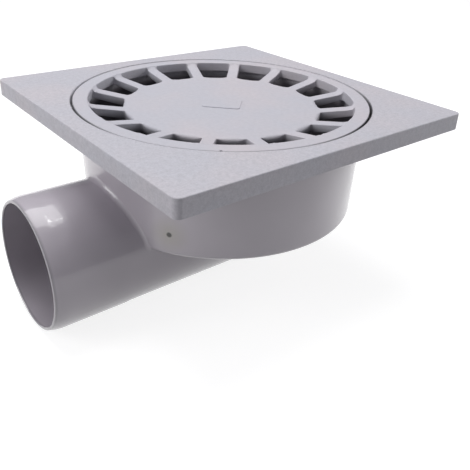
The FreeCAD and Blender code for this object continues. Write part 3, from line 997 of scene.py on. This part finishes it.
def add_marks_and_shade(tree, place, height, colour):
    """Lay the halo, the speck, and painted shade on the mouth's edge and the pipe's underside over a colour.
    """
    reach = node(tree, "ShaderNodeVectorMath", {0: place, 1: SPECK_PLACE},
                 operation="DISTANCE").outputs["Value"]
    colour = blend(tree, ramp(tree, reach, 1.5 * MM, 12 * MM, 0.45, 0), colour, HALO)
    colour = blend(tree, ramp(tree, reach, 1.1 * MM, 1.8 * MM, 1, 0), colour, SPECK)
    along = node(tree, "ShaderNodeSeparateXYZ", {"Vector": place}).outputs["X"]
    # Painted shade on the mouth's edge.
    mouth_edge = ramp(tree, along, body_low.x + 0.2 * MM, body_low.x + 1.6 * MM, 0.6, 0)
    colour = blend(tree, mouth_edge, colour, PAINTED_EDGE_SHADE)
    # Painted shade along the pipe's underside.
    underside = ramp(tree, height, body_low.z + 0.5 * MM, body_low.z + 3 * MM, 0.6, 0)
    return blend(tree, underside, colour, PAINTED_EDGE_SHADE)


# %% [markdown]
# One function mixes the plastic for all three pieces. Where grain_from is given, only what stands
# above that height is grained, and the rest is polished: for the moulding that is the plate down
# to its skirt. Without it everything is grained, which is the grate.

# %% Plastic material
COOL = (0.530, 0.525, 0.580, 1)
WARM = (0.570, 0.535, 0.575, 1)
HOLLOW = (0.40, 0.39, 0.43, 1)
FLECK = (0.74, 0.73, 0.78, 1)
BOWL_TONE = (0.435, 0.398, 0.445, 1)
PIPE_TONE = (0.545, 0.505, 0.555, 1)
GRAIN_TURN = math.radians(38)
GRAIN_STRETCH = (1, 0.45, 1)
GRAIN_HEIGHT = 0.12 * MM


def plastic(name, shade_reach, grain_from=None):
    """Moulded PVC. The second argument gives the radius, the start and the end of the painted shade below the
    slots.
    """
    material = blank_material(name)
    tree = material.node_tree
    place = node(tree, "ShaderNodeTexCoord").outputs["Object"]
    height = node(tree, "ShaderNodeSeparateXYZ", {"Vector": place}).outputs["Z"]
    distance, turn = about_bowl(tree, place)
    base = blend(tree, ramp(tree, noise(tree, place, 22, 3), 0.38, 0.64, 0, 1), COOL, WARM)
    mottle = ramp(tree, noise(tree, place, 420, 4), 0.3, 0.7, 0, 1)
    stretched = node(tree, "ShaderNodeMapping", {"Vector": place, "Scale": GRAIN_STRETCH,
                                                 "Rotation": (0, 0, GRAIN_TURN)}).outputs[0]
    relief = noise(tree, stretched, 1300, 3)
    shader = node(tree, "ShaderNodeBsdfPrincipled", {"IOR": 1.5, "Specular IOR Level": 0.5})
    if grain_from is None:
        rough = ramp(tree, mottle, 0, 1, 0.52, 0.64)
        colour = blend(tree, ramp(tree, mottle, 0, 1, 0, 0.20), base, HOLLOW)
        depth = 0.6
    else:
        grained = ramp(tree, height, grain_from - 0.4 * MM, grain_from + 0.4 * MM, 0, 1)
        rough = ramp(tree, grained, 0, 1, 0.34, 0.56)
        tree.links.new(ramp(tree, grained, 0, 1, 0.7, 0), shader.inputs["Coat Weight"])
        shader.inputs["Coat Roughness"].default_value = 0.055
        top = blend(tree, ramp(tree, mottle, 0, 1, 0, 0.55), base, HOLLOW)
        top = blend(tree, ramp(tree, noise(tree, place, 1000, 2), 0.42, 0.62, 0, 0.18), top, FLECK)
        tone = ramp(tree, noise(tree, place, 14, 2), 0.35, 0.7, 0, 1)
        colour = blend(tree, grained, blend(tree, tone, BOWL_TONE, PIPE_TONE), top)
        colour = add_marks_and_shade(tree, place, height, colour)
        relief = times(tree, relief, grained)
        depth = 0.65
    # Painted light and shade in the gap, then painted shade below the slots.
    colour = gap_light_and_shade(tree, distance, turn, height, colour)
    colour = painted_deep_shade(tree, distance, height, colour, *shade_reach)
    tree.links.new(colour, shader.inputs["Base Color"])
    tree.links.new(rough, shader.inputs["Roughness"])
    bump = node(tree, "ShaderNodeBump", {"Strength": depth, "Distance": GRAIN_HEIGHT, "Height": relief})
    tree.links.new(bump.outputs[0], shader.inputs["Normal"])
    show(tree, shader)
    return material


# %% The three plastics
# Where the painted shade below the slots reaches for each piece: radius, start depth and end depth.
BOWL_SHADE_REACH = (82.6 * MM, 7, 13.5)
GRATE_SHADE_REACH = (81.2 * MM, 5.4, 9.8)
BELL_SHADE_REACH = (81.2 * MM, 7, 13.5)
SKIRT_FOOT = body_high.z - (plate_edge + 0.6) * MM
NOTHING_ABOVE = body_high.z + 1
body_plastic = plastic("body_plastic", BOWL_SHADE_REACH, SKIRT_FOOT)
grate_plastic = plastic("grate_plastic", GRATE_SHADE_REACH)
bell_plastic = plastic("bell_plastic", BELL_SHADE_REACH, NOTHING_ABOVE)
print("materials:", ", ".join(made.name for made in (body_plastic, grate_plastic, bell_plastic)))

# %% [markdown]
# ## Finishing the pieces
# Each skin gets its material, smooth shading up to a crease angle, and weighted normals, which
# keep large flats flat beside narrow roundings. Then it takes the place of its CAD node.

# %% Dress the three pieces
CREASE = math.radians(32)


def dress(made, node_name, material):
    """Finish one skin and let it stand for its node."""
    face_outward(made)
    made.data.materials.clear()
    made.data.materials.append(material)
    made.data.shade_smooth()
    made.data.set_sharp_from_angle(angle=CREASE)
    normals = made.modifiers.new("normals", "WEIGHTED_NORMAL")
    normals.keep_sharp = True
    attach(made, "root")
    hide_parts(node_name)


dress(moulding, "trap_body", body_plastic)
dress(grate, "grate", grate_plastic)
dress(bell, "trap_bell", bell_plastic)

# %% [markdown]
# ## Floor, light and camera
# Product shots of such parts are cut out on white. Here a large pale floor does that job: it is
# white to the camera, keeps the soft shadow, and reflects as a pale floor in the plastic.

# %% Floor
FLOOR_REACH = 6.0
FLOOR_GREY = 0.38
FLOOR_GLOW = 0.82
floor_height = body_low.z - 0.2 * MM
floor_corners = [(x * FLOOR_REACH, y * FLOOR_REACH, floor_height)
                 for x, y in ((-1, -1), (1, -1), (1, 1), (-1, 1))]
floor_data = bpy.data.meshes.new("floor")
floor_data.from_pydata(floor_corners, [], [(0, 1, 2, 3)])
floor = add_object("floor", floor_data)


def seen_directly(tree):
    """1 where the camera, a reflection or a transmission looks at the surface."""
    rays = node(tree, "ShaderNodeLightPath").outputs
    either = maths(tree, "MAXIMUM", rays["Is Camera Ray"], rays["Is Glossy Ray"])
    return maths(tree, "MAXIMUM", either, rays["Is Transmission Ray"])


def floor_material():
    """Matte and pale, lifted to white where it is looked at."""
    material = blank_material("floor_white")
    tree = material.node_tree
    matte = node(tree, "ShaderNodeBsdfDiffuse", {"Color": (FLOOR_GREY, FLOOR_GREY, FLOOR_GREY, 1)})
    strength = times(tree, seen_directly(tree), FLOOR_GLOW)
    glow = node(tree, "ShaderNodeEmission", {"Color": (1, 1, 1, 1), "Strength": strength})
    show(tree, node(tree, "ShaderNodeAddShader", {0: matte.outputs[0], 1: glow.outputs[0]}))
    return material


floor.data.materials.append(floor_material())
print(f"floor {2 * FLOOR_REACH:.0f} m square at height {floor_height:.4f} m")

# %% World
world = bpy.data.worlds.new("studio")
bpy.context.scene.world = world
world.use_nodes = True
sky = world.node_tree
sky.nodes.clear()
ambient = node(sky, "ShaderNodeBackground", {"Color": (0.94, 0.95, 1.0, 1), "Strength": 0.25})
white = node(sky, "ShaderNodeBackground", {"Color": (1, 1, 1, 1), "Strength": 1.0})
is_camera = node(sky, "ShaderNodeLightPath").outputs["Is Camera Ray"]
show(sky, node(sky, "ShaderNodeMixShader", {0: is_camera, 1: ambient.outputs[0], 2: white.outputs[0]}),
     "ShaderNodeOutputWorld")

# %% [markdown]
# A large softbox overhead gives the plate its even light. Two smaller ones light the skirts and
# the bowl: one at the left, which also draws the soft highlight on the pipe, and one at the right.
# Three slim ceiling tubes leave small bright reflections in the polished plastic.

# %% Lamps
middle = to_frame((0, 0, -30))


def area_lamp(name, size, power, place, turn):
    """A rectangular lamp."""
    lamp = bpy.data.lights.new(name, "AREA")
    lamp.shape = "RECTANGLE"
    lamp.size, lamp.size_y = size
    lamp.energy = power
    holder = add_object(name, lamp)
    holder.location = place
    holder.rotation_euler = turn
    return holder


def softbox(name, azimuth, elevation, distance, width, height, power):
    """A lamp aimed at the object. Azimuth 0 is in front, towards -Y."""
    a, e = math.radians(azimuth), math.radians(elevation)
    outward = Vector((math.sin(a) * math.cos(e), -math.cos(a) * math.cos(e), math.sin(e)))
    aim = (-outward).to_track_quat("-Z", "Y").to_euler()
    area_lamp(name, (width, height), power, middle + outward * distance, aim)


def tube(name, start, end, width, radiance):
    """A slim ceiling lamp between two places, shining down."""
    start, end = to_frame(start), to_frame(end)
    length = (end - start).length
    along = (end - start).normalized()
    back = (Vector((0, 0, 1)) - along * along.z).normalized()
    turn = Matrix((along, back.cross(along), back)).transposed().to_euler()
    power = radiance * math.pi * length * width * MM
    area_lamp(name, (length, width * MM), power, (start + end) / 2, turn).visible_camera = False


softbox("overhead", 170, 74, 1.3, 1.0, 1.0, 12.5)
softbox("left", -108, 22, 1.2, 0.6, 0.7, 5.5)
softbox("right", 68, 12, 1.4, 0.6, 0.6, 6)
tube("tube_back", (99, 215, 694), (113, 30, 722), 14, 22)
tube("tube_short", (112, 12, 722), (146, 12, 722), 14, 22)
tube("tube_front", (104, 30, 722), (114, -172, 705), 10, 16)
print(f"{len(bpy.data.lights)} lamps")

# %% [markdown]
# ## Camera
# The photograph's camera was worked out from the corners of the plate and the circle of the
# grate: it stands about 360 mm from the middle of the grate, looks down at 26 degrees and is
# tilted sideways by a little under 3 degrees. The frame is cropped off-centre, which is what the
# shift does.

# %% Camera
IMAGE_WIDTH = 470
FOCAL_PIXELS = 588.1
OPTICAL_ROW = 187
eye = to_frame((-213.2, -270.9, 105.6))
heading, pitch, roll = math.radians(39.908), math.radians(-25.854), math.radians(2.725)
lens = bpy.data.cameras.new("camera")
lens.sensor_width = 36
lens.lens = lens.sensor_width * FOCAL_PIXELS / IMAGE_WIDTH
lens.shift_y = (OPTICAL_ROW - IMAGE_WIDTH / 2) / IMAGE_WIDTH
lens.clip_start = 0.01
camera = add_object("camera", lens)
camera.location = eye
camera.rotation_euler = (Matrix.Rotation(-heading, 3, "Z") @ Matrix.Rotation(math.radians(90) + pitch, 3, "X")
                         @ Matrix.Rotation(roll, 3, "Z")).to_euler()
print(f"lens {lens.lens:.2f} mm, eye {(eye - bowl_axis).length:.3f} m from the middle of the grate")
bpy.context.scene.camera = camera
bpy.context.scene.view_settings.view_transform = "Standard"
